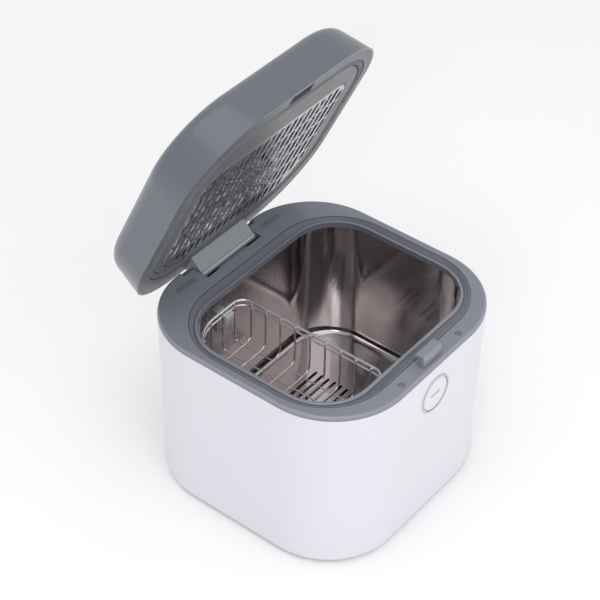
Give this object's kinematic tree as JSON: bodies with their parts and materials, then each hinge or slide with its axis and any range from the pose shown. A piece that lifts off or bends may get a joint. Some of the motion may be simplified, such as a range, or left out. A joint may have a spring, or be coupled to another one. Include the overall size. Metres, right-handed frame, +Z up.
{
  "type": "uv baby bottle sterilizer",
  "caption": "Countertop bottle sterilizer with a hinged lamp lid, polished steel chamber, lift-out wire basket, lid hook with round release button and drying fan below.",
  "frame": {"origin": "on the table, under the middle of the body", "axes": "+X to the right of someone facing the round button, +Y to the back where the hinge is, +Z up"},
  "size_m": [0.27, 0.3066, 0.4379],
  "materials": {
    "shell_white": "glossy white with a slight lavender tint",
    "rim_grey": "satin cool grey",
    "lid_grey": "glossy cool grey",
    "lid_inner": "satin light grey",
    "bumper_rubber": "matte",
    "chamber_steel": "mirror polished stainless sheet",
    "support_plastic": "frosted light grey",
    "sheet_steel": "plain pressed sheet",
    "guard_steel": "satin stainless sheet with punched slots",
    "pin_steel": "turned steel",
    "wire_steel": "polished round wire",
    "ring_grey": "glossy light grey",
    "mark_grey": "matte inlay",
    "base_plastic": "fine textured",
    "foot_rubber": "matte",
    "seal_rubber": "soft matte silicone",
    "dark_plastic": "matte black",
    "fin_aluminium": "bare",
    "reflector_aluminium": "polished",
    "lamp_glass": "clear tube",
    "holder_white": "matte",
    "board_green": "lacquered circuit board"
  },
  "bodies": {
    "base": {"outer_shell": "shell_white", "top_rim": "rim_grey", "rim_bumpers": "bumper_rubber", "chamber_liner": "chamber_steel", "basket_supports": "support_plastic", "hinge_bracket": "sheet_steel", "hinge_pin": "pin_steel", "latch_bracket": "dark_plastic", "latch_pin": "pin_steel", "button_ring": "ring_grey", "base_plate": "base_plastic", "rubber_feet": "foot_rubber", "base_screws": "pin_steel", "fan_housing": "dark_plastic", "air_duct": "dark_plastic", "heater": "fin_aluminium", "power_inlet": "dark_plastic", "power_board": "board_green", "board_parts": "dark_plastic", "lid_switch": "dark_plastic"},
    "lid": {"hinge_arm": "rim_grey", "lid_shell": "lid_grey", "lid_frame": "lid_inner", "latch_keeper": "sheet_steel", "lid_seal": "seal_rubber", "lid_screws": "pin_steel", "lamp_guard": "guard_steel", "reflector": "reflector_aluminium", "uv_lamps": "lamp_glass", "lamp_caps": "fin_aluminium", "lamp_holders": "holder_white", "lamp_driver": "board_green", "touch_board": "board_green", "lid_magnet": "pin_steel"},
    "hook": {"latch_hook": "rim_grey"},
    "button": {"open_button": "shell_white", "button_mark": "mark_grey"},
    "fan": {"fan_rotor": "dark_plastic"},
    "basket": {"basket_rim": "wire_steel", "basket_cross_wires": "wire_steel", "basket_long_wires": "wire_steel"}
  },
  "joints": [
    {"name": "lid_hinge", "type": "hinge", "parent": "base", "child": "lid", "pos_m": [0, 0.1296, 0.1901], "axis": [1, 0, 0], "range_deg": [0, 65]},
    {"name": "button_press", "type": "slide", "parent": "base", "child": "button", "axis": [0, 0.9998, 0.0184], "range_m": [0, 0.0018], "stiffness_N_per_m": 400, "springref_m": -0.001},
    {"name": "hook_pivot", "type": "hinge", "parent": "base", "child": "hook", "pos_m": [0, -0.1234, 0.184], "axis": [1, 0, 0], "range_deg": [0, 4.91], "stiffness_Nm_per_rad": 0.1, "springref_deg": -2.86},
    {"name": "fan_spin", "type": "hinge", "parent": "base", "child": "fan", "pos_m": [0.02, 0.01, 0.02], "axis": [0, 0, 1], "continuous": true},
    {"name": "basket_lift", "type": "slide", "parent": "base", "child": "basket", "axis": [0, 0, 1], "range_m": [0, 0.02]}
  ],
  "couplings": [
    {"joint": "hook_pivot", "follows": "button_press", "rad_per_m": 47.619}
  ]
}
